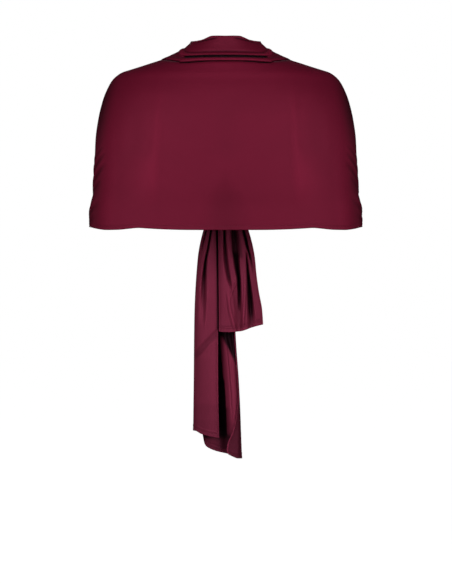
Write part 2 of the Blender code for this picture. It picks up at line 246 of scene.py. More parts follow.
def furrow(*rows):
    """A furrow that runs down the cloth, or a ridge where its depth is below 0.

    Each row gives its place across at a height, its depth, and how far it spreads on the side where
    the place across is lower and on the other. One spread alone is that of both sides.
    """
    columns = "height across depth low_side high_side"
    both_given = len(columns.split())
    rows = [row if len(row) == both_given else (*row, row[-1]) for row in rows]
    return table(columns, *rows)


BLADE_RIDGE = furrow(
    (-30, 113, 0, 7, 14),
    (-62, 113, -0.4, 7, 14),
    (-85, 115, -0.9, 6, 12),
    (-140, 117, -1.3, 6, 12),
    (-165, 119, -1.4, 7, 20),
    (-195, 121, -1.6, 9, 42),
    (-220, 123, -1.3, 11, 50),
    (-245, 126, -0.6, 14, 46),
    (-268, 130, 0, 14, 40),
)
BLADE_HOLLOW = furrow(
    (-50, 160, 0, 20, 24),
    (-110, 155, 0.6, 24, 26),
    (-150, 155, 0.8, 24, 26),
    (-185, 170, 0.3, 20, 24),
    (-210, 176, 0, 20, 24),
)
ARM_RIDGE = furrow(
    (-60, 200, 0, 26, 10),
    (-110, 205, -0.7, 26, 12),
    (-165, 208, -1.3, 28, 13),
    (-230, 210, -1.2, 28, 14),
    (-310, 213, -0.9, 28, 15),
)
LOW_HOLLOW = furrow(
    (-50, 0, 0, 26),
    (-100, 0, 1.2, 34),
    (-150, 0, 1.2, 34),
    (-190, 0, 0, 16),
    (-206, 0, 0.6, 16),
    (-235, 0, 2.6, 32),
    (-265, 0, 4, 46),
    (-300, 0, 4.6, 58),
)

# Drag lines over the arms. Each starts on the back, so far behind the arm's edge, and runs down
# and forwards past it.
DRAG_LINES = table(
    "side behind height slope length half depth",
    (1, 70, -151, -0.56, 92, 2.6, 1.5),
    (1, 74, -165, -0.58, 120, 3.2, 3),
    (1, 76, -182, -0.68, 134, 3.6, 3.8),
    (1, 66, -211, -0.48, 120, 3.4, 3),
    (1, 66, -249, -0.52, 100, 4, 2.4),
    (1, 58, -272, -0.36, 90, 4, 1.6),
    (-1, 72, -149, -0.60, 94, 2.6, 1.6),
    (-1, 74, -163, -0.66, 122, 3.2, 3),
    (-1, 76, -179, -0.74, 132, 3.6, 3.6),
    (-1, 66, -204, -0.56, 118, 3.4, 3),
    (-1, 68, -243, -0.50, 104, 4.2, 2.4),
    (-1, 60, -267, -0.42, 88, 4, 1.6),
)
DRAG_RIDGE = 0.55  # the ridge beside each line, as a share of its depth
RIDGE_ASIDE = 2.1  # how far beside, counted by the line's own half width
RIDGE_SPREAD = 1.7
DRAG_TAPER = 0.7
CREASE_PAINTED_SHADING = 0.17  # shade painted in the drag lines and a highlight on their ridges, for each millimetre

# The inner layer shows as a narrow strip over these lines, either side of the neck's flat top. They
# run sideways, so here the first value is the distance from the middle and the second the height.
PEEK = furrow(
    (14, 37.4, 0, 1.5),
    (20, 36.5, 2, 1.7),
    (36, 33.7, 2.4, 1.8),
    (48, 31.3, 1.8, 1.7),
    (58, 29, 0, 1.5),
)
PEEK_DARK = 0.45  # shade painted on the inner layer's strip, for each millimetre

# Fine gathers where the fronts run into the knot: how many, how deep, and from where they start.
GATHERS = 11
GATHER_DEPTH = 0.9
GATHER_START = 0.45
GATHER_WANDER = 0.35
GATHER_WAVES = 5
GATHER_SHIFT = 0.4  # of one gather, on the wearer's right front

# The hem is turned up by this much and is thicker there. A row of stitches sinks into the cloth.
HEM_WIDTH = 8.0
TAIL_HEM_WIDTH = 11.5
TAIL_EDGE_WIDTH = 4.5
HEM_RISE = 0.4
HEM_STEP = 1.2
STITCH_SINK = 0.35
STITCH_SPREAD = 1.5
STITCH_DARK = 0.16
PUCKER_REACH = 9.0
WRAP_STITCHES = (6.8,)  # how far above the hem each row of stitches lies
LONG_STITCHES = (6.2,)
SHORT_STITCHES = (7.3, 11.0)
EDGE_STITCHES = 3.2

# A stitch is a short grain of thread.
STITCH_STEP = 3.4
STITCH_HALF = 1.2
STITCH_RADIUS = 0.27
STITCH_PROUD = 0.16
STITCH_SIDES = 6
STITCH_BANDS = 5

# A tail's folds, in their order across the cloth: their places to the side and in depth at each
# station, which is a share of the way down, and the height of the hem there.
TAIL_FOLD = "across depth hem"
LONG_TAIL_TOP = -246.0
LONG_STATIONS = (0.0, 0.10, 0.24, 0.50, 0.78, 1.0)
LONG_TAIL = table(
    TAIL_FOLD,
    ((7, 17, 15.6, 14, 13.6, 12), (-116, -108, -104, -103, -101, -101), -664),
    ((10, 23, 26, 27, 27, 27), (-114, -106, -103, -102.5, -103, -103), -661.5),
    ((13, 29, 37, 42, 43, 43), (-115, -108, -106, -105.5, -109, -109), -657.5),
    ((16, 35, 46, 52, 53, 54), (-117, -112, -111, -111, -116, -115), -652),
    ((20, 39, 50.5, 56.4, 57.6, 58.6), (-122, -119, -119, -120, -123, -121), -651.5),
    ((16, 33, 45, 50, 49, 43.5), (-128, -129, -131, -134, -134, -132), -655),
    ((10, 22, 30, 35, 36, 36.5), (-128, -133, -138, -143, -143, -140), -680),
    ((5, 12, 18, 20, 15, 12), (-131, -137, -143, -144, -143, -140), -691.5),
    ((1, 6, 10, 9.5, 1, -3), (-129, -134, -134, -128, -127, -128), -694),
    ((-1, 1, 3, 2.5, -7, -11), (-126, -130, -126, -122, -121.5, -123), -695.5),
    ((-3, -3, -4, -6, -15, -19), (-123, -124, -120, -119, -119, -120), -698.5),
    ((-5, -9, -12, -17.5, -25.6, -29.4), (-126, -127, -125, -124, -123, -122), -702),
    ((-5, -9, -12, -17.2, -24.8, -21), (-122, -122, -120, -119.5, -117, -111), -701.3),
    ((-4, -8, -11, -15.5, -20, -4), (-120, -119, -118, -117, -113, -108), -694.2),
)
# The last fold's free edge, the flap that hangs in front of the far layer near the hem.
FLAP_EDGE = table(
    "height across",
    (-246, -4.4),
    (-290, -8.2),
    (-355, -11),
    (-484, -15.6),
    (-560, -20.4),
    (-592, -22.2),
    (-612, -20.6),
    (-635, -17.6),
    (-657, -11.2),
    (-673, -4),
    (-686, -2),
    (-695, -5),
)
NEAR_LAYER = (0, 4)  # the folds of the long tail's layer that lies nearest the back
FAR_LAYER = (6, 11)

# Shade painted on a tail, such as inside a fold, on the flap and in the short tail's shadow, with a
# highlight painted where the shade is below 0: the first and the last fold there, by number, its
# highest and lowest place, how much shade, and over how many folds it fades.
PATCH = "first last top bottom dark fade"
LONG_PAINTED_PATCHES = table(
    PATCH,
    (-1, 0.20, -200, -474, 0.90, 0.06),
    (-1, 0.20, -478, -720, 0.14, 0.06),
    (4.7, 8.05, -200, -575, 0.97, 0.24),
    (4.7, 8.24, -555, -668, 0.97, 0.24),
    (4.7, 9.3, -606, -672, 0.50, 1.40),
    (4.7, 9, -655, -760, 0.38, 0.30),
    (7.4, 9.4, -655, -692, 0.60, 0.90),
    (8.3, 11.2, -470, -640, -0.14, 0.40),
    (11.5, 12.96, -596, -740, 0.56, 0.10),
    (-1, 4.6, -600, -720, 0.12, 0.24),
    (-1, 4.6, -628, -720, 0.08, 0.24),
    (3.3, 4.4, -400, -560, -0.24, 0.30),
    (7.9, 11, -460, -486, 0.75, 0.20),
    (1.4, 4.6, -520, -720, 0.05, 1),
)
SHORT_PAINTED_PATCHES = table(PATCH, (1.8, 2.85, -200, -345, 0.50, 0.24))
PATCH_HEIGHT = 8.0
HOLLOW_FROM = 1.2  # shade is painted in the tails' furrows from this depth
HOLLOW_FULL = 8.5  # to this one
HOLLOW_DARK = 0.92
UNDER_SHARE = 0.25  # how much of this painted shade the cloth's other side has
SEEN_TURN = 1.5  # how fast it goes over as the cloth turns from facing back to facing front
RIDGE_GLINT = 0.09  # a highlight painted on a tail's raised ridges, for each millimetre
EDGE_GLINT = 0.35  # a highlight is painted along a tail's free edges
EDGE_GLINT_WIDTH = 1.8

# The long tail's furrows, on its near layer and on its far one.
NEAR_FURROW = furrow(
    (-246, 13, 4, 1.6),
    (-294, 26.5, 12, 2.8),
    (-320, 31, 12, 2.6),
    (-347, 36.4, 14, 3.4, 3.2),
    (-378, 39.2, 8, 5.6, 5),
    (-412, 40.2, 5, 6, 7),
    (-460, 42, 0, 7, 8),
)
NEAR_SIDE_FURROW = furrow(
    (-246, 16.5, 3, 1.2),
    (-294, 35.4, 8, 1.8),
    (-315, 40.5, 5, 1.8),
    (-340, 46.5, 0, 1.8),
)
NEAR_RIDGE = furrow(
    (-380, 31.5, 0, 3),
    (-412, 33, -0.9, 3),
    (-450, 36.5, -0.9, 3),
    (-476, 37.5, 0, 3),
)
FAR_HOLLOW = furrow(
    (-440, -2, 0, 5),
    (-468, -4.5, 6, 7.5),
    (-490, -7, 6, 7),
    (-508, -10.6, 3, 4),
    (-523, -14.4, 0, 2.4),
)
FAR_LINE = furrow(
    (-480, 0.5, 0, 2),
    (-530, -4.5, 0.9, 2),
    (-585, -9, 0.8, 2.2),
    (-640, -12.5, 0, 2),
)
FAR_SHORT_LINE = furrow(
    (-500, -6.5, 0, 2),
    (-548, -10.5, 0.8, 2),
    (-600, -15, 0, 2),
)
LONG_FURROWS = {
    NEAR_LAYER: [NEAR_FURROW, NEAR_SIDE_FURROW, NEAR_RIDGE],
    FAR_LAYER: [FAR_HOLLOW, FAR_LINE, FAR_SHORT_LINE],
}

SHORT_TAIL_TOP = -243.0
SHORT_STATIONS = (0.0, 0.22, 0.45, 0.58, 0.73, 0.88, 1.0)
SHORT_TAIL = table(
    TAIL_FOLD,
    ((6, 13.6, 13, 12.8, 12.4, 12.2, 12.2), (-110, -101, -99, -99, -99, -99, -99), -473),
    ((1, 4, 2, 1, 0, -1, -2), (-106, -96, -94, -94, -94, -94.5, -95), -474),
    ((-5, -13, -17, -19, -21, -24, -26), (-105, -94.5, -92.5, -92.5, -93, -94, -95), -472.5),
    ((-11, -27, -36, -39, -42, -46, -49), (-106, -95.5, -94, -94, -94.5, -95.5, -97), -465),
    (
        (-17, -41, -52.5, -55.2, -59.7, -65.6, -67.4),
        (-111, -102, -100, -100, -101, -102, -103),
        -460.3,
    ),
)
SHORT_LAYER = (0, 4)

# The short tail's furrows. Five run down from the knot, and the rest lie above its hem.
FIRST_FURROW = furrow(
    (-243, 1.5, 5, 1.6),
    (-294, 2.2, 11, 3, 3.2),
    (-320, 1.4, 8, 4.4),
    (-347, -0.8, 7, 4.8, 5.4),
    (-376, -5.6, 6.6, 4.2, 5.4),
    (-392, -9.2, 3, 2.6, 3),
    (-400, -11, 0, 2),
)
MIDDLE_FURROW = furrow(
    (-243, -5, 4, 2),
    (-294, -15.4, 8, 8, 6),
    (-326, -17.8, 7.4, 8, 6.4),
    (-348, -19.2, 15, 6.8, 6.2),
    (-377, -23, 17, 4.8),
    (-412, -24.5, 9, 4.8, 4.4),
    (-440, -25.4, 0, 4.8, 4.4),
)
MIDDLE_LINE = furrow(
    (-243, -5, 0, 2),
    (-290, -11, 5, 2.4),
    (-330, -13.6, 5, 2.2),
    (-356, -19, 0, 2),
)
OUTER_FURROW = furrow(
    (-243, -12, 4, 1.8),
    (-294, -32.2, 12, 4, 3.6),
    (-320, -38.4, 13, 3.8, 3.4),
    (-338, -43.4, 8, 3, 2.6),
    (-352, -46.8, 4, 2.4, 2.2),
    (-374, -51.6, 0, 1.6),
)
WIDE_FURROW = furrow(
    (-326, -36.4, 0, 1.6),
    (-347, -38, 9, 3, 2.4),
    (-378, -40.4, 16, 4.6, 3.6),
    (-412, -43, 16, 7, 5.6),
    (-432, -44.2, 11, 8.4, 6.6),
    (-452, -45.6, 6, 9.6, 8),
    (-476, -47, 2.6, 9),
)
LOW_DIP = furrow(
    (-385, -13.5, 0, 6),
    (-412, -18.5, 3.4, 8, 7),
    (-447, -23.2, 4.4, 8.5),
    (-476, -25.5, 2.4, 8),
)
LOW_RIDGE = furrow(
    (-392, -3, 0, 4.4),
    (-420, -5.5, -2.3, 5, 4.6),
    (-450, -11.5, -2.7, 4.8, 5.4),
    (-472, -17.5, -1.4, 5),
)
SLANT_RIDGE = furrow(
    (-372, -20.5, 0, 2.6),
    (-384, -18.6, -1.6, 2.8),
    (-405, -10, -1.4, 3.4),
    (-424, -6, 0, 3.4),
)
OUTER_RIDGE = furrow(
    (-350, -34, 0, 3),
    (-385, -34.4, -1.9, 3.6, 3.2),
    (-450, -31.6, -2.4, 4.2, 4.4),
    (-474, -28, -1, 4.6),
)
LONG_LINES = [FIRST_FURROW, MIDDLE_FURROW, MIDDLE_LINE, OUTER_FURROW, WIDE_FURROW]
LOW_RELIEF = [LOW_DIP, LOW_RIDGE, SLANT_RIDGE, OUTER_RIDGE]
SHORT_FURROWS = {SHORT_LAYER: LONG_LINES + LOW_RELIEF}

# How finely the tails are divided, and their last stretch above the hem.
TAIL_ROWS = 126
TAIL_HEM_ROWS = 26
TAIL_HEM_SHARE = 0.06
TAIL_COLUMNS = 230
FINE_COLUMNS = 1800

# A slanting band of painted shade on the long tail, over a shallow trough with its own straight line.
BAND_START = (14.0, -474.0)
BAND_END = (58.0, -519.0)
BAND_HALF = 6.5
BAND_DEPTH = 1.2
BAND_DARK = 0.26
BAND_EDGE = 0.35  # the share of its half width over which it fades

# Shade is painted on the far layer above this line, up to near its own edge.
WEDGE_START = (12.0, -478.0)
WEDGE_END = (-9.6, -520.0)
WEDGE_SOFT = 5.0
WEDGE_FOLDS = (7.9, 10.75)
WEDGE_FADE = 0.20
WEDGE_DARK = 0.97

# The half knot, and the band that crosses it on a slant. The mouths and the core are half its depth
# and half its height, at its two ends and in its middle.
KNOT_CENTRE = (0.0, -125.0, -224.5)
KNOT_HALF_WIDTH = 20.6
KNOT_MOUTH = (13.5, 20.0)
KNOT_CORE = (17.5, 22.5)
KNOT_BAND_HALF_WIDTH = 14.5
KNOT_BAND_EDGE = 0.25
KNOT_BAND_SLANT = 5.5
KNOT_BAND_HEIGHT = 3.4
KNOT_BAND_PLEATS = 4
KNOT_CORE_PLEATS = 9
KNOT_PLEAT_HEIGHT = 0.8
# shade painted in the hollows between the knot's pleats
KNOT_DARK = 0.5
KNOT_RINGS = 121
KNOT_SIDES = 220

CAMERA_PLACE = (-0.0005, 4.0, -0.402)
PHOTO_ROWS = 584
PIXEL = 1.75  # what one covers at the shoulders
SENSOR = 36
WHITE = (1, 1, 1, 1)
FLOOR_HEIGHT = -1.4
FLOOR_HALF = 30
FLOOR = {
    "Base Color": (0.9, 0.9, 0.9, 1),
    "Roughness": 0.9,
    "Emission Color": WHITE,
    "Emission Strength": 1.0,
}
LIT_POINT = (0, 0, -0.3)
SOFTBOXES = table(
    "name place width height power",
    ("key_left", (1.30, 3.05, 0.25), 0.8, 1.6, 41),
    ("key_right", (-1.30, 3.05, 0.25), 0.8, 1.6, 41),
    ("overhead", (0, 2.3, 1.9), 1.8, 1.0, 10),
    ("low_left", (2.5, 1.9, -1.0), 1.0, 0.7, 9),
    ("low_right", (-2.5, 1.9, -1.0), 1.0, 0.7, 9),
    ("side_left", (3.2, -0.6, 0.3), 1.6, 1.6, 4),
    ("side_right", (-3.2, -0.6, 0.3), 1.6, 1.6, 4),
    ("front", (0, -3.3, -0.35), 0.5, 0.7, 60),
)

BACK_RED = (0.148, 0.0062, 0.0240)
# The tails' red is the same satin painted lighter and paler than the back's, to stand in for the
# brighter light on them.
TAIL_RED_PAINTED_LIGHTER = (0.196, 0.0200, 0.0490)
THREAD_RED = (0.190, 0.0150, 0.0400)
SATIN = {
    "Metallic": 0.30,
    "Specular IOR Level": 0.25,
    "Specular Tint": (1.0, 0.40, 0.60, 1),
    "Sheen Weight": 0.04,
    "Sheen Roughness": 0.35,
    "Sheen Tint": (1.0, 0.55, 0.70, 1),
}
# Noise drawn out along the threads, by its scale along each axis, its detail and its roughness.
SLOW_NOISE = ((9, 16, 1), 3.0, 0.5)
SLUB_NOISE = ((60, 1500, 1), 2.0, 0.6)
GATHER_NOISE = ((180, 180, 1), 2.0, 0.6)
# How far each noise moves a value, and where the value starts.
TONE_RANGE = (0.16, 0.92)
STREAK_RANGE = (0.10, 0.95)
ROUGHNESS_RANGE = (0.12, 0.50)
WARP_SCALE = 620
WEFT_SCALE = 480
WEFT_SHARE = 0.4
THREAD_WAVER = {"Distortion": 0.6, "Detail": 1.0, "Detail Scale": 0.4}
WEAVE_HEIGHT = 0.00002
PUCKER_HEIGHT = 0.0008

# A piece of cloth: a grid of points, and for each of them the light and shade painted into the satin
# on the side that `directions` points to and on its under side, and how near it lies to a stitched
# edge.
Cloth = namedtuple("Cloth", "grid lustre under pucker")


def smooth(knots, values, at):
    """A curve through the knots that never overshoots them, read at each of `at`."""
    knots, values, at = (np.asarray(each, float) for each in (knots, values, at))
    if knots[0] > knots[-1]:
        knots, values = knots[::-1], values[::-1]
    step = np.diff(knots)
    rise = np.diff(values) / step
    slope = np.zeros(len(knots))
    for i in range(1, len(knots) - 1):
        if rise[i - 1] * rise[i] > 0:
            before = 2 * step[i] + step[i - 1]
            after = step[i] + 2 * step[i - 1]
            slope[i] = (before + after) / (before / rise[i - 1] + after / rise[i])
    slope[0], slope[-1] = rise[0], rise[-1]
    at = np.clip(at, knots[0], knots[-1])
    i = np.clip(np.searchsorted(knots, at, side="right") - 1, 0, len(step) - 1)
    t = (at - knots[i]) / step[i]
    return (
        (2 * t**3 - 3 * t**2 + 1) * values[i]
        + (t**3 - 2 * t**2 + t) * step[i] * slope[i]
        + (3 * t**2 - 2 * t**3) * values[i + 1]
        + (t**3 - t**2) * step[i] * slope[i + 1]
    )


def mix(first, second, share):
    """From the first to the second."""
    return first + (second - first) * share


def ease(share):
    """From 0 to 1 with a soft start and end."""
    share = np.clip(share, 0, 1)
    return share * share * (3 - 2 * share)


def passed(value, first, last):
    """How far a value has gone from the first to the last, with a soft start and end."""
    return ease((value - first) / (last - first))


def bell(value):
    """1 at 0, falling to 0 on both sides of it."""
    return np.exp(-(value**2))


def column(rows, name):
    """One named column of a table."""
    return np.array([getattr(row, name) for row in rows], float)


def read(rows, name, at):
    """A named column of a table, read smoothly at values of its first column."""
    return smooth(column(rows, rows[0]._fields[0]), column(rows, name), at)


def stacked(folds, panel):
    """Values for the rows in the neck's folds and then in the panel, as one column."""
    return np.concatenate([folds, panel])[:, None]


def unit(vectors):
    """The same directions, of length 1."""
    return vectors / np.linalg.norm(vectors, axis=-1, keepdims=True)


def along(grid, axis):
    """Distances from the first row or column, in millimetres."""
    steps = np.linalg.norm(np.diff(grid, axis=axis), axis=-1)
    return np.concatenate([np.zeros_like(steps.take([0], axis)), np.cumsum(steps, axis)], axis)


def distance_to_end(grid, axis):
    """Distances to the last row or column, in millimetres."""
    run = along(grid, axis)
    return run.take([-1], axis) - run


def figure(name, height):
    """One size of the figure's level cut at a height."""
    return read(FIGURE, name, height)


def behind(height, turn):
    """The point of the figure at a height, turned from the middle of the back towards a side."""
    power = figure("squareness", height)
    s, c = np.sin(turn), np.cos(turn)
    scale = (np.abs(s) ** power + np.abs(c) ** power) ** (-1 / power)
    x = figure("half_width", height) * scale * s
    y = figure("back", height) * scale * c
    return np.stack([x, y, height + 0 * x], axis=-1)


def in_front(x, height):
    """The point of the figure's front at a distance to the side and a height."""
    power = figure("squareness", height)
    share = np.clip(np.abs(x) / figure("half_width", height), 0, 1)
    y = -figure("front", height) * (1 - share**power) ** (1 / power)
    return np.stack([x + 0 * y, y, height + 0 * y], axis=-1)


def outwards(points):
    """The figure's outward direction at points on it."""

    def field(x, y, z):
        power = figure("squareness", z)
        depth = np.where(y >= 0, figure("back", z), figure("front", z))
        return np.abs(x / figure("half_width", z)) ** power + np.abs(y / depth) ** power

    x, y, z = points[..., 0], points[..., 1], points[..., 2]
    slopes = [
        field(x + NEAR, y, z) - field(x - NEAR, y, z),
        np.where(np.abs(y) < NEAR, 0.0, field(x, y + NEAR, z) - field(x, y - NEAR, z)),
        field(x, y, z + NEAR) - field(x, y, z - NEAR),
    ]
    return unit(np.stack(slopes, axis=-1))


def neck_height(level, turn):
    """How high a line of the neck's folds runs, at a turn from the middle of the back."""
    numbers = np.arange(len(NECK_LEVELS))
    at_centre, at_side, dip = (
        smooth(numbers, column(NECK_LEVELS, name), level) for name in NECK_LEVELS[0]._fields
    )
    share = np.abs(np.sin(turn))
    height = mix(at_centre, at_side, share**SIDE_POWER)
    height = height - dip * np.sin(math.pi * share**2) ** 2
    rim, last_line = (read(line, "height", share) for line in (RIM, LAST_LINE))
    height = mix(height, rim, (1 - np.clip(level, 0, 1)) ** RIM_FADE)
    return mix(height, last_line, np.clip(level - len(NECK_LEVELS) + 2, 0, 1))


def heights_down(turn, bottom, shares):
    """Heights on the figure's outline at a turn, by the share of the cloth from the last fold."""
    top = neck_height(len(NECK_LEVELS) - 1, turn)
    fine = np.linspace(top, bottom, OUTLINE_STEPS)
    run = along(behind(fine, np.full_like(fine, turn)), 0)
    return np.interp(shares * run[-1], run, fine)


def directions(grid):
    """Unit normals of a grid of points."""
    return unit(np.cross(np.gradient(grid, axis=1), np.gradient(grid, axis=0)))


def neck_cuts():
    """The folds at the neck in even steps of cloth: each column of NECK_FOLDS by name."""
    numbers = np.arange(len(NECK_FOLDS))
    fine = np.linspace(0, numbers[-1], STEPS_A_CUT * numbers[-1] + 1)
    names = NECK_FOLDS[0]._fields
    cut = {name: smooth(numbers, column(NECK_FOLDS, name), fine) for name in names}
    height = neck_height(cut["level"], 0.0)
    run = np.hypot(np.diff(height), np.diff(cut["behind"] + cut["deeper"]))
    run = np.concatenate([[0], np.cumsum(run)])
    number = np.interp(np.linspace(0, run[-1], NECK_ROWS), run, fine)
    cuts = {name: np.interp(number, fine, values) for name, values in cut.items()}
    cuts["grooves"] = [int(np.argmin(np.abs(number - groove))) for groove in NECK_GROOVES]
    return cuts


def panel_shares():
    """How far down the panel each of its rows lies, from just under the last fold to the hem."""
    fine = np.linspace(0, 1, OUTLINE_STEPS)
    dense = 1 + DENSE_GAIN * bell((fine - DENSE_AT) / DENSE_SPREAD)
    run = np.cumsum(dense) - dense[0]
    body = np.interp(np.linspace(0, run[-1], PANEL_ROWS + 1)[1:], run, fine)
    return np.concatenate([body * (1 - HEM_SHARE), np.linspace(1 - HEM_SHARE, 1, HEM_ROWS + 1)[1:]])


def groove_open(reach):
    """How far the neck's grooves are open, from 1 behind the neck to 0 on the shoulders."""
    return 1 - ease((reach - GROOVE_REACH) / GROOVE_END)


def back_surface(cuts, down, turn):
    """The back, from the edge turned in behind the neck to the hem."""
    aside = np.abs(np.sin(turn)) ** SIDE_POWER
    level = cuts["level"][:, None]
    fold_heights = neck_height(level + 0 * turn, turn + 0 * level)
    fold_proud = mix(cuts["behind"][:, None], cuts["shoulder"][:, None], aside)
    reach = np.abs(behind(fold_heights, turn + 0 * fold_heights)[..., 0])
    grooved = cuts["deeper"][:, None] * groove_open(reach)

    middle = len(turn) // 2
    centre = heights_down(0.0, BACK_HEM[0].height, down)[:, None]
    side = heights_down(math.pi / 2, BACK_HEM[-1].height, down)[:, None]
    down = down[:, None]
    heights = mix(centre, side, aside)
    straight = mix(fold_heights[-1, middle], fold_heights[-1, 0], aside)
    reach = np.abs(behind(heights[-1], turn)[..., 0])
    hem = read(BACK_HEM, "height", reach)
    heights += (fold_heights[-1] - straight) * (1 - down) ** HOLD
    heights += (hem - heights[-1]) * down**HOLD
    proud = fold_proud[-1] * (1 - ease(down / SETTLE))

    heights = np.concatenate([fold_heights, heights])
    base = behind(heights, turn + 0 * heights)
    normal = outwards(base)
    base += normal * np.concatenate([fold_proud, proud])[..., None]
    level_normal = unit(normal[: len(grooved)] * np.array([1, 1, 0]))
    base[: len(grooved)] += (level_normal - np.array([0, 0, HOOK])) * grooved[..., None]
    return base


def front_surface(cuts, down, share, shift):
    """The wearer's left front: rows that run straight from the shoulder and arm to the knot."""
    crests = column(FRONT_PLEATS, "at")
    edges = np.concatenate([[0], (crests[1:] + crests[:-1]) / 2, [1]])
    number = np.clip(np.searchsorted(edges, down, side="left") - 1, 0, len(crests) - 1)
    first, last = edges[number], edges[number + 1]
    half = np.where(down < crests[number], first, last)
    phase = np.clip((down - half) / (crests[number] - half), 0, 1)
    swell = (1 - np.cos(math.pi * phase)) / 2
    height = column(FRONT_PLEATS, "height")[number]

    top = len(NECK_LEVELS) - 1
    mouth = stacked(MOUTH_LEVEL_SHARE * cuts["level"], mix(MOUTH_LEVEL_SHARE * top, 1, down))
    at_side = heights_down(math.pi / 2, BACK_HEM[-1].height, down)
    start = stacked(neck_height(cuts["level"], math.pi / 2), at_side)
    at_arm = stacked(cuts["shoulder"], cuts["shoulder"][-1] * (1 - ease(down / SETTLE)))
    at_knot = stacked(cuts["knot"], mix(GROOVE, height, swell))
    below_neck = ease(down / crests[0])
    no_neck = np.zeros(len(cuts["level"]))
    reach, sag = (
        stacked(no_neck, below_neck * read(FRONT_PLEATS, name, down)) for name in ("reach", "sag")
    )

    x = mix(figure("half_width", start), read(MOUTH, "reach", mouth), share)
    z = mix(start, read(MOUTH, "height", mouth), share) - sag * np.sin(math.pi * share)
    base = in_front(x, z)
    rise = np.clip((share - reach) / (1 - reach), 0, 1) ** PLEAT_RISE
    stands = mix(at_arm, at_knot, rise) - GROOVE

    grooves = list(cuts["grooves"])
    last_cut = len(cuts["level"]) - 1
    grooves += [last_cut + int(np.argmin(np.abs(down - edge))) + 1 for edge in edges[1:]]
    for first, last in zip(grooves, grooves[1:]):
        steps = np.linalg.norm(np.diff(base[first : last + 1], axis=0), axis=2)
        deepest = steps.sum(axis=0) ** 2 / (math.pi**2 * WALL * TURN_ROOM)
        tallest = np.abs(stands[first : last + 1]).max(axis=0)
        stands[first:last] *= np.minimum(1, deepest / tallest)

    wander = GATHER_WANDER * np.sin(GATHER_WAVES * math.pi * down)[:, None]
    ripple = np.sin(2 * math.pi * (GATHERS * down[:, None] + wander + shift))
    ripple = ripple * below_neck[:, None] * passed(share, GATHER_START, 1)
    stands[len(no_neck) :] += GATHER_DEPTH * ripple
    return base + outwards(base) * (GROOVE + stands)[..., None]


def tucked(surface):
    """A front whose end runs on into the knot."""
    end = surface[:, -1]
    inward = np.linspace(0, TUCK, TUCK_COLUMNS + 1)[1:]
    added = [end - np.array([step, 0, 0]) for step in inward]
    return np.concatenate([surface, np.stack(added, axis=1)], axis=1)


def furrowed(rows, across, height):
    """How deep a furrow is at places on the cloth."""
    names = rows[0]._fields[1:]
    centre, depth, low_side, high_side = (read(rows, name, height) for name in names)
    aside = across - centre
    spread = np.where(aside < 0, low_side, high_side)
    return depth * np.clip(1 - (aside / spread) ** 2, 0, 1) ** 2


def drag_line(line, past_arm, height):
    """How far one drag line and the ridge beside it raise the cloth."""
    run = past_arm + line.behind
    share = np.clip(run / line.length, 0, 1)
    off = (height - line.height - line.slope * run) / math.hypot(1, line.slope) / line.half
    ridge = DRAG_RIDGE * np.exp(-((off - RIDGE_ASIDE) ** 2) / RIDGE_SPREAD)
    return line.depth * np.sin(math.pi * share) ** DRAG_TAPER * (ridge - bell(off))


def hem_rise(from_edge, width, stitches):
    """The turned edge is thicker, with a step where the turning ends and a dent at its stitches."""
    rise = HEM_RISE * (1 - ease((from_edge - width + HEM_STEP) / HEM_STEP))
    return rise - STITCH_SINK * seam_near(from_edge, stitches)


def seam_near(from_edge, stitches):
    """1 along the rows of stitches, falling to 0 beside them."""
    return sum(bell((from_edge - row) / STITCH_SPREAD) for row in stitches)


def cuts_outside(cuts, panel_rows):
    """1 for the rows on the outer side of the fold at the neck's top, and 0 for those inside it."""
    top = int(np.argmin(cuts["level"]))
    return (np.arange(len(cuts["level"]) + panel_rows) > top).astype(float)


def painted_light_and_shade(grid, level):
    """The wrap's slow painted light and shade: painted brighter round the neck and under it, and
    painted in shade at the shoulders' ends.
    """
    x, z = np.abs(grid[..., 0]), grid[..., 2]
    collar = COLLAR_PAINTED_HIGHLIGHT * (x / COLLAR_REACH) ** 2 * (1 - passed(level, *COLLAR_LEVELS))
    top = TOP_PAINTED_HIGHLIGHT * bell((z - TOP_HEIGHT) / TOP_SPREAD) * (level > PANEL_FROM)
    turned = passed(np.abs(directions(grid)[..., 0]), *END_TURN)
    top_end, low_end = END_HEIGHTS
    share = np.clip((z - low_end) / (top_end - low_end), 0, 1)
    ends = END_SHADE * turned * np.sin(math.pi * share)
    return 1 + (collar + top - ends) * ease(grid[..., 1] / BACK_FADE)


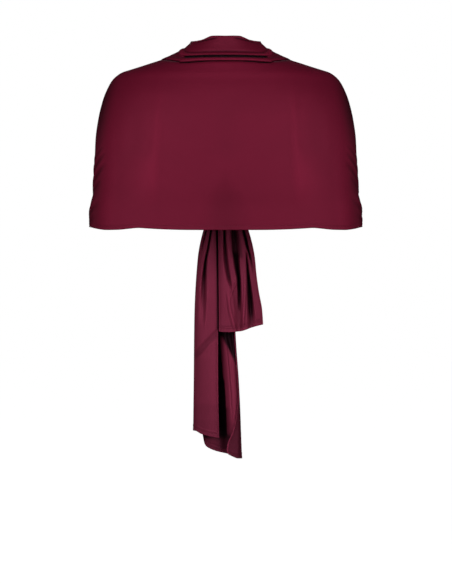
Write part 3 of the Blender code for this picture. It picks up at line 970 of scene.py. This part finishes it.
def wrap_surface():
    """The cloth from the knot round the wearer's right arm, the back and the left arm to the knot."""
    cuts = neck_cuts()
    down = panel_shares()
    turn = np.linspace(-math.pi / 2, math.pi / 2, BACK_COLUMNS + 1)
    share = 1 - np.cos(np.linspace(0, math.pi / 2, FRONT_COLUMNS + 1))
    back = back_surface(cuts, down, turn)
    left, right = (tucked(front_surface(cuts, down, share, shift)) for shift in (0, GATHER_SHIFT))
    right = right * np.array([-1, 1, 1])
    grid = np.concatenate([right[:, :0:-1], back, left[:, 1:]], axis=1)

    x, y, z = grid[..., 0], grid[..., 1], grid[..., 2]
    behind_arms = ease(y / BACK_FADE)
    ridges = [-furrowed(rows, np.abs(x), z) for rows in (BLADE_RIDGE, BLADE_HOLLOW, ARM_RIDGE)]
    peek = furrowed(PEEK, z, np.abs(x)) * cuts_outside(cuts, len(down))[:, None] * behind_arms
    low = furrowed(LOW_HOLLOW, np.abs(x), z) * behind_arms
    raised = sum(ridges) * behind_arms - low - peek
    below = np.zeros(len(down))
    # Light and shade painted into the colour: in the neck's grooves and on its rolls, on the inner
    # strip, in the low hollow, on the ridges, and the slow painted tones.
    dark, dark_side = (stacked(cuts[name], below) for name in ("dark", "dark_side"))
    dark = mix(dark_side, dark, groove_open(np.abs(x))) * behind_arms
    lustre = (1 - dark) * (1 - PEEK_DARK * peek) * (1 - HOLLOW_PAINTED_SHADE * low)
    lustre *= painted_light_and_shade(grid, stacked(cuts["level"], below + len(NECK_LEVELS)))
    lustre *= 1 + RIDGE_PAINTED_SHADING * sum(ridges) * behind_arms

    run = along(grid, 1)
    right_arm = FRONT_COLUMNS + TUCK_COLUMNS
    left_arm = right_arm + BACK_COLUMNS
    past_arm = {-1: run[:, [right_arm]] - run, 1: run - run[:, [left_arm]]}
    # Each drag line sinks its trough and raises its ridge, with shade painted in the trough and a
    # highlight on the ridge.
    for line in DRAG_LINES:
        crease = drag_line(line, past_arm[line.side], z)
        raised += crease
        lustre *= 1 + CREASE_PAINTED_SHADING * crease
    from_hem = distance_to_end(grid, 0)
    raised += hem_rise(from_hem, HEM_WIDTH, WRAP_STITCHES)
    lustre = lustre * (1 - STITCH_DARK * seam_near(from_hem, WRAP_STITCHES))
    pucker = np.clip(1 - from_hem / PUCKER_REACH, 0, 1)
    under = mix(1, lustre, UNDER_SHARE)
    return Cloth(grid + directions(grid) * raised[..., None], lustre, under, pucker)


def off_line(x, z, start, end):
    """How far points lie from a line across a tail, above 0 on the one side of it."""
    line = unit(np.array(end) - np.array(start))
    return (x - start[0]) * line[1] - (z - start[1]) * line[0]


def in_band(x, z):
    """1 in the slanting band of painted shade on the long tail, and 0 away from it."""
    off = np.abs(off_line(x, z, BAND_START, BAND_END)) / BAND_HALF
    return 1 - ease((off - 1 + BAND_EDGE) / BAND_EDGE)


def in_wedge(x, z, number):
    """1 in the wedge of painted shade on the far layer of the long tail, and 0 away from it."""
    first, last = WEDGE_FOLDS
    above = ease(off_line(x, z, WEDGE_START, WEDGE_END) / WEDGE_SOFT)
    inside = ease((number - first) / WEDGE_FADE + 1) * ease((last - number) / WEDGE_FADE)
    return above * inside


def patch_painted_shade(patch, number, height):
    """How much shade is painted on a patch of a tail, by the number of the fold and the height."""
    inside = ease((number - patch.first) / patch.fade + 1)
    inside = inside * ease((patch.last - number) / patch.fade)
    inside = inside * ease((patch.top - height) / PATCH_HEIGHT)
    return patch.dark * inside * ease((height - patch.bottom) / PATCH_HEIGHT)


def within(number, layer):
    """Where the number of the fold is one of a layer's."""
    return (number >= layer[0]) & (number <= layer[1])


def tail_row(x, y, z, number, furrows, patches, band_in):
    """A row across a tail in even steps of cloth: its points, and how much shade is painted on the
    cloth there.
    """
    hollow = 0 * x
    for layer, group in furrows.items():
        for each in group:
            hollow += np.where(within(number, layer), furrowed(each, x, z), 0)
    # Shade painted in the furrows, a highlight painted on the ridges, and the painted patches.
    shade = HOLLOW_DARK * passed(hollow, HOLLOW_FROM, HOLLOW_FULL)
    shade += RIDGE_GLINT * np.minimum(hollow, 0)
    for patch in patches:
        shade = 1 - (1 - shade) * (1 - patch_painted_shade(patch, number, z))
    # The slanting band and the wedge of painted shade.
    if band_in:
        band = np.where(within(number, band_in), in_band(x, z), 0)
        hollow += BAND_DEPTH * band
        wedge = WEDGE_DARK * in_wedge(x, z, number)
        shade = 1 - (1 - shade) * (1 - BAND_DARK * band) * (1 - wedge)
    y = y - hollow
    run = np.concatenate([[0], np.cumsum(np.hypot(np.diff(x), np.diff(y)))])
    even = np.linspace(0, run[-1], TAIL_COLUMNS)
    points = np.stack([np.interp(even, run, each) for each in (x, y, z)], axis=-1)
    return points, np.interp(even, run, shade)


def tail_surface(top, stations, folds, furrows, patches, stitches, flap=None, band_in=None):
    """A tail: the cloth runs across through its folds, and each of them runs down to the hem."""
    body = np.linspace(0, 1 - TAIL_HEM_SHARE, TAIL_ROWS)
    down = np.concatenate([body, np.linspace(1 - TAIL_HEM_SHARE, 1, TAIL_HEM_ROWS + 1)[1:]])
    numbers = np.arange(len(folds))
    fine = np.linspace(0, numbers[-1], FINE_COLUMNS)
    across = np.array([smooth(stations, fold.across, down) for fold in folds])
    depth = np.array([smooth(stations, fold.depth, down) for fold in folds])
    hems = smooth(numbers, column(folds, "hem"), fine)
    if flap:
        across[-1] = read(flap, "across", mix(top, folds[-1].hem, down))
    rows, shades = [], []
    for i in range(len(down)):
        x = smooth(numbers, across[:, i], fine)
        y = smooth(numbers, depth[:, i], fine)
        z = mix(top, hems, down[i])
        row, shade = tail_row(x, y, z, fine, furrows, patches, band_in)
        rows.append(row)
        shades.append(shade)
    grid = np.array(rows)
    from_hem = distance_to_end(grid, 0)
    from_side = np.minimum(along(grid, 1), distance_to_end(grid, 1))
    raised = hem_rise(from_hem, TAIL_HEM_WIDTH, stitches)
    raised = np.maximum(raised, hem_rise(from_side, TAIL_EDGE_WIDTH, (EDGE_STITCHES,)))
    seam = seam_near(from_hem, stitches) + seam_near(from_side, (EDGE_STITCHES,))
    # Shade painted from the rows, a little darker along the stitches, and a highlight painted along
    # the free edges.
    lustre = (1 - np.array(shades)) * (1 - STITCH_DARK * np.clip(seam, 0, 1))
    lustre *= 1 + EDGE_GLINT * bell(from_side / EDGE_GLINT_WIDTH)
    pucker = np.clip(1 - np.minimum(from_hem, from_side) / PUCKER_REACH, 0, 1)
    normal = directions(grid)
    # The painted light and shade is full on the side that faces back and weaker on the side that
    # faces front.
    upper, under = (
        mix(1, lustre, mix(UNDER_SHARE, 1, ease(0.5 + SEEN_TURN * facing)))
        for facing in (normal[..., 1], -normal[..., 1])
    )
    return Cloth(grid + normal * raised[..., None], upper, under, pucker)


def add_to_scene(name, data):
    """A new object in the scene."""
    made = bpy.data.objects.new(name, data)
    bpy.context.scene.collection.objects.link(made)
    return made


def mesh_object(name, points, faces, material):
    """An object from points in millimetres."""
    mesh = bpy.data.meshes.new(name)
    mesh.from_pydata((points * MM).tolist(), [], faces)
    mesh.materials.append(material)
    mesh.shade_smooth()
    return add_to_scene(name, mesh)


def store(made, woven, lustre, pucker):
    """Stores a vector and two numbers for each point of a mesh, which its material reads."""
    new = made.data.attributes.new
    new("woven", "FLOAT_VECTOR", "POINT").data.foreach_set("vector", woven.ravel())
    new("lustre", "FLOAT", "POINT").data.foreach_set("value", lustre)
    new("pucker", "FLOAT", "POINT").data.foreach_set("value", pucker)


def shell(name, cloth, material, warp_down):
    """A thin closed shell of cloth about a grid of points, with its weave's own coordinates.

    The weave's first coordinate runs along the warp: down the grid if `warp_down`, or across it.
    """
    grid = cloth.grid
    rows, columns = grid.shape[:2]
    count = rows * columns
    normal = directions(grid)
    sides = np.stack([grid + normal * SATIN_THICKNESS / 2, grid - normal * SATIN_THICKNESS / 2])
    number = np.arange(count).reshape(rows, columns)
    a, b = number[:-1, :-1], number[:-1, 1:]
    c, d = number[1:, 1:], number[1:, :-1]
    outer = np.stack([a, b, c, d], axis=-1).reshape(-1, 4)
    inner = outer[:, ::-1] + count
    rim = np.concatenate([number[0], number[1:, -1], number[-1, -2::-1], number[-2:0:-1, 0]])
    after = np.roll(rim, -1)
    edge = np.stack([after, rim, rim + count, after + count], axis=-1)
    faces = np.concatenate([outer, inner, edge])
    made = mesh_object(name, sides.reshape(-1, 3), faces.tolist(), material)

    middle = along(grid, 1)
    middle -= middle[:, [columns // 2]]
    fall = along(grid, 0)
    first, second = (fall, middle) if warp_down else (middle, fall)
    woven = np.stack([first, second, 0 * middle], axis=-1).reshape(-1, 3) * MM
    lustre = np.concatenate([cloth.lustre.ravel(), cloth.under.ravel()])
    store(made, np.tile(woven, (2, 1)), lustre, np.tile(cloth.pucker.ravel(), 2))
    return made


def point_at(at, run, points):
    """The point, or direction, at a distance along a line of them."""
    return np.array([np.interp(at, run, points[:, k]) for k in range(3)])


def level_line(grid, distance, at):
    """The points of each column, and their normals, where its distance passes a value."""
    normal = directions(grid)
    points, normals = [], []
    for i in range(grid.shape[1]):
        order = np.argsort(distance[:, i])
        far = distance[order, i]
        if far[-1] < at:
            continue
        points.append(point_at(at, far, grid[order, i]))
        normals.append(point_at(at, far, normal[order, i]))
    return np.array(points), unit(np.array(normals))


def ring_faces(rings, sides):
    """The faces of a form made of rings of points, whose last two points are its two ends."""
    last = (rings - 1) * sides
    end = rings * sides
    faces = []
    for k in range(sides):
        after = (k + 1) % sides
        for ring in range(0, last, sides):
            above = ring + sides
            faces.append([ring + k, ring + after, above + after, above + k])
        faces.append([after, k, end])
        faces.append([last + k, last + after, end + 1])
    return faces


def stitched(name, lines, material):
    """Rows of stitches along lines of points, joined into one piece."""
    angle = np.arange(STITCH_SIDES) * 2 * math.pi / STITCH_SIDES
    polar = np.linspace(0, math.pi, STITCH_BANDS + 2)[1:-1]
    rings = [
        [-math.cos(p), math.sin(p) * math.cos(t), math.sin(p) * math.sin(t)]
        for p in polar
        for t in angle
    ]
    grain = np.array(rings + [[-1, 0, 0], [1, 0, 0]])
    # The grain's angle turns the other way round its line than the knot's, so its faces are turned.
    grain_faces = [face[:1] + face[:0:-1] for face in ring_faces(STITCH_BANDS, STITCH_SIDES)]
    points, faces = [], []
    for line, normals in lines:
        run = along(line, 0)
        for at in np.arange(STITCH_STEP, run[-1] - STITCH_STEP, STITCH_STEP):
            ends = [point_at(at + step, run, line) for step in (-STITCH_HALF, STITCH_HALF)]
            forward = unit(ends[1] - ends[0])
            side = unit(np.cross(point_at(at, run, normals), forward))
            up = np.cross(forward, side)
            centre = point_at(at, run, line) + up * (SATIN_THICKNESS / 2 + STITCH_PROUD)
            axes = np.array([forward * STITCH_HALF, side * STITCH_RADIUS, up * STITCH_RADIUS])
            start = len(points) * len(grain)
            points.append(centre + grain @ axes)
            faces += [[start + corner for corner in face] for face in grain_faces]
    return mesh_object(name, np.concatenate(points), faces, material)


def tail_stitches(name, grid, rows, material):
    """The rows above a tail's hem and along its two edges, on both faces of the cloth."""
    from_hem = distance_to_end(grid, 0)
    lines = [level_line(grid, from_hem, row) for row in rows]
    turned = grid.transpose(1, 0, 2)
    for distance in (along(grid, 1).T, distance_to_end(grid, 1).T):
        points, normals = level_line(turned, distance, EDGE_STITCHES)
        lines.append((points, -normals))
    return stitched(name, lines + [(points, -normals) for points, normals in lines], material)


def knot_mesh(material):
    """The knot: rings round a line from side to side, with the band raised on them and shade painted
    between the pleats.
    """
    along_it = np.linspace(-1, 1, KNOT_RINGS)[:, None]
    angle = np.arange(KNOT_SIDES) * 2 * math.pi / KNOT_SIDES
    across = KNOT_HALF_WIDTH * along_it + 0 * angle
    off = (across - KNOT_BAND_SLANT * np.sin(angle)) / KNOT_BAND_HALF_WIDTH
    band = ease((1 - np.abs(off)) / KNOT_BAND_EDGE)
    band_top = KNOT_BAND_HEIGHT + KNOT_PLEAT_HEIGHT * np.cos(math.pi * KNOT_BAND_PLEATS * off)
    core_top = KNOT_PLEAT_HEIGHT * np.cos(KNOT_CORE_PLEATS * angle)
    proud = mix(core_top, band_top, band)
    bulge = 1 - along_it**2
    depth = mix(KNOT_MOUTH[0], KNOT_CORE[0], bulge) + proud
    height = mix(KNOT_MOUTH[1], KNOT_CORE[1], bulge) + proud
    rings = np.stack([across, -depth * np.cos(angle), height * np.sin(angle)], axis=-1)
    ends = np.array([[-KNOT_HALF_WIDTH, 0, 0], [KNOT_HALF_WIDTH, 0, 0]])
    points = np.concatenate([rings.reshape(-1, 3), ends]) + np.array(KNOT_CENTRE)
    made = mesh_object("stole_knot", points, ring_faces(KNOT_RINGS, KNOT_SIDES), material)
    lows = np.clip(-proud / KNOT_PLEAT_HEIGHT, 0, 1).ravel()
    lustre = np.concatenate([1 - KNOT_DARK * lows, [1, 1]])
    store(made, points[:, [2, 0, 1]] * MM, lustre, np.zeros(len(points)))
    return made


def new_material(name, values):
    """A material, its node tree, and its shader with some of the sockets filled."""
    material = bpy.data.materials.new(name)
    material.use_nodes = True
    shader = material.node_tree.nodes["Principled BSDF"]
    for socket, value in values.items():
        shader.inputs[socket].default_value = value
    return material, material.node_tree, shader


def node(tree, kind, links=(), **settings):
    """A new node with some of its sockets filled and its settings made."""
    made = tree.nodes.new(kind)
    for name, value in settings.items():
        setattr(made, name, value)
    for socket, source in dict(links).items():
        if isinstance(source, bpy.types.NodeSocket):
            tree.links.new(source, made.inputs[socket])
        else:
            made.inputs[socket].default_value = source
    return made


def math_node(tree, operation, *values):
    """One sum."""
    return node(tree, "ShaderNodeMath", dict(enumerate(values)), operation=operation).outputs[0]


def stretched_noise(tree, place, scale, detail, roughness):
    """Noise about 0.5, drawn out along the threads."""
    mapped = node(tree, "ShaderNodeMapping", {"Vector": place, "Scale": scale})
    links = {"Vector": mapped.outputs[0], "Scale": 1.0, "Detail": detail, "Roughness": roughness}
    return node(tree, "ShaderNodeTexNoise", links).outputs["Fac"]


def threads(tree, place, direction, scale):
    """Fine parallel threads."""
    links = {"Vector": place, "Scale": scale, **THREAD_WAVER}
    return node(tree, "ShaderNodeTexWave", links, bands_direction=direction).outputs["Fac"]


def satin(name, red, shaded):
    """Satin with its threads, slow changes of tone, puckers beside the stitches and, if shaded, light
    and shade painted into its colour.
    """
    material, tree, shader = new_material(name, SATIN)
    woven, lustre, pucker = (
        node(tree, "ShaderNodeAttribute", attribute_name=stored).outputs[socket]
        for stored, socket in (("woven", "Vector"), ("lustre", "Fac"), ("pucker", "Fac"))
    )
    slow = stretched_noise(tree, woven, *SLOW_NOISE)
    slubs = stretched_noise(tree, woven, *SLUB_NOISE)
    gathers = stretched_noise(tree, woven, *GATHER_NOISE)

    tone = math_node(tree, "MULTIPLY_ADD", slow, *TONE_RANGE)
    streaks = math_node(tree, "MULTIPLY_ADD", slubs, *STREAK_RANGE)
    tone = math_node(tree, "MULTIPLY", tone, streaks)
    # The light and shade painted on each point scale the colour.
    if shaded:
        tone = math_node(tree, "MULTIPLY", tone, lustre)
    colour = node(tree, "ShaderNodeVectorMath", {0: red, "Scale": tone}, operation="SCALE")
    tree.links.new(colour.outputs[0], shader.inputs["Base Color"])
    roughness = math_node(tree, "MULTIPLY_ADD", slubs, *ROUGHNESS_RANGE)
    tree.links.new(roughness, shader.inputs["Roughness"])

    warp = threads(tree, woven, "Y", WARP_SCALE)
    weft = threads(tree, woven, "X", WEFT_SCALE)
    weave = math_node(tree, "MULTIPLY", weft, WEFT_SHARE)
    weave = math_node(tree, "ADD", weave, warp)
    weave = math_node(tree, "ADD", weave, slubs)
    weave = math_node(tree, "MULTIPLY", weave, WEAVE_HEIGHT)
    puckers = math_node(tree, "MULTIPLY", gathers, pucker)
    height = math_node(tree, "ADD", weave, math_node(tree, "MULTIPLY", puckers, PUCKER_HEIGHT))
    bump = node(tree, "ShaderNodeBump", {"Height": height, "Distance": 1.0, "Strength": 1.0})
    tree.links.new(bump.outputs[0], shader.inputs["Normal"])
    return material


def add_camera():
    """The camera that the photographed side is seen with."""
    data = bpy.data.cameras.new("camera")
    data.sensor_width = SENSOR
    data.lens = SENSOR * CAMERA_PLACE[1] / (PHOTO_ROWS * PIXEL * MM)
    camera = add_to_scene("camera", data)
    camera.location = CAMERA_PLACE
    camera.rotation_euler = (math.pi / 2, 0, math.pi)
    bpy.context.scene.camera = camera


def add_floor():
    """A plain pale floor, which is clear from below, so that it hides nothing."""
    material, tree, shader = new_material("pale_floor", FLOOR)
    from_below = node(tree, "ShaderNodeNewGeometry").outputs["Backfacing"]
    clear = node(tree, "ShaderNodeBsdfTransparent").outputs[0]
    either = node(tree, "ShaderNodeMixShader", {0: from_below, 1: shader.outputs[0], 2: clear})
    tree.links.new(either.outputs[0], tree.nodes["Material Output"].inputs["Surface"])
    half = FLOOR_HALF
    corners = [(-half, -half), (half, -half), (half, half), (-half, half)]
    mesh = bpy.data.meshes.new("floor")
    mesh.from_pydata([(x, y, FLOOR_HEIGHT) for x, y in corners], [], [(0, 1, 2, 3)])
    mesh.materials.append(material)
    floor = add_to_scene("floor", mesh)
    floor.visible_diffuse = False
    floor.visible_glossy = False


def add_lights():
    """A white surround that lights nothing itself, and soft boxes that all face the stole."""
    bpy.context.scene.view_settings.view_transform = "Standard"
    world = bpy.data.worlds.new("studio")
    bpy.context.scene.world = world
    world.use_nodes = True
    world.node_tree.nodes["Background"].inputs["Color"].default_value = WHITE
    world.cycles_visibility.diffuse = False
    world.cycles_visibility.glossy = False
    for name, place, width, height, power in SOFTBOXES:
        light = bpy.data.lights.new(name, "AREA")
        light.shape = "RECTANGLE"
        light.size = width
        light.size_y = height
        light.energy = power
        lamp = add_to_scene(name, light)
        lamp.location = place
        aim = Vector(LIT_POINT) - Vector(place)
        lamp.rotation_euler = aim.to_track_quat("-Z", "Y").to_euler()


def main():
    """Makes the stole's seven pieces, attaches them to the root, hides the frame's parts that they
    stand in for, and adds what they are seen with.
    """
    material = satin("burgundy_satin", BACK_RED, shaded=True)
    tail_material = satin("burgundy_satin_tails_painted_lighter", TAIL_RED_PAINTED_LIGHTER, shaded=True)
    thread = satin("burgundy_thread", THREAD_RED, shaded=False)
    wrap_cloth = wrap_surface()
    long_cloth = tail_surface(
        LONG_TAIL_TOP,
        LONG_STATIONS,
        LONG_TAIL,
        LONG_FURROWS,
        LONG_PAINTED_PATCHES,
        LONG_STITCHES,
        flap=FLAP_EDGE,
        band_in=NEAR_LAYER,
    )
    short_cloth = tail_surface(
        SHORT_TAIL_TOP, SHORT_STATIONS, SHORT_TAIL, SHORT_FURROWS, SHORT_PAINTED_PATCHES, SHORT_STITCHES
    )
    wrap = shell("stole_wrap", wrap_cloth, material, False)
    long_tail = shell("tail_long_satin", long_cloth, tail_material, True)
    short_tail = shell("tail_short_satin", short_cloth, tail_material, True)
    knot = knot_mesh(material)
    hem = distance_to_end(wrap_cloth.grid, 0)
    ends = TUCK_COLUMNS + 1  # the stitches stop where the cloth runs into the knot
    open_grid, open_hem = wrap_cloth.grid[:, ends:-ends], hem[:, ends:-ends]
    wrap_lines = [level_line(open_grid, open_hem, row) for row in WRAP_STITCHES]
    wrap_thread = stitched("stole_wrap_stitches", wrap_lines, thread)
    long_thread = tail_stitches("tail_long_stitches", long_cloth.grid, LONG_STITCHES, thread)
    short_thread = tail_stitches("tail_short_stitches", short_cloth.grid, SHORT_STITCHES, thread)
    for piece in (wrap, long_tail, short_tail, knot, wrap_thread, long_thread, short_thread):
        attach(piece, "root")
    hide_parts("back_panel", "neck_folds", "front_left", "front_right")
    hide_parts("tail_long")
    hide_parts("tail_short")
    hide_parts("knot")
    add_camera()
    add_floor()
    add_lights()


main()
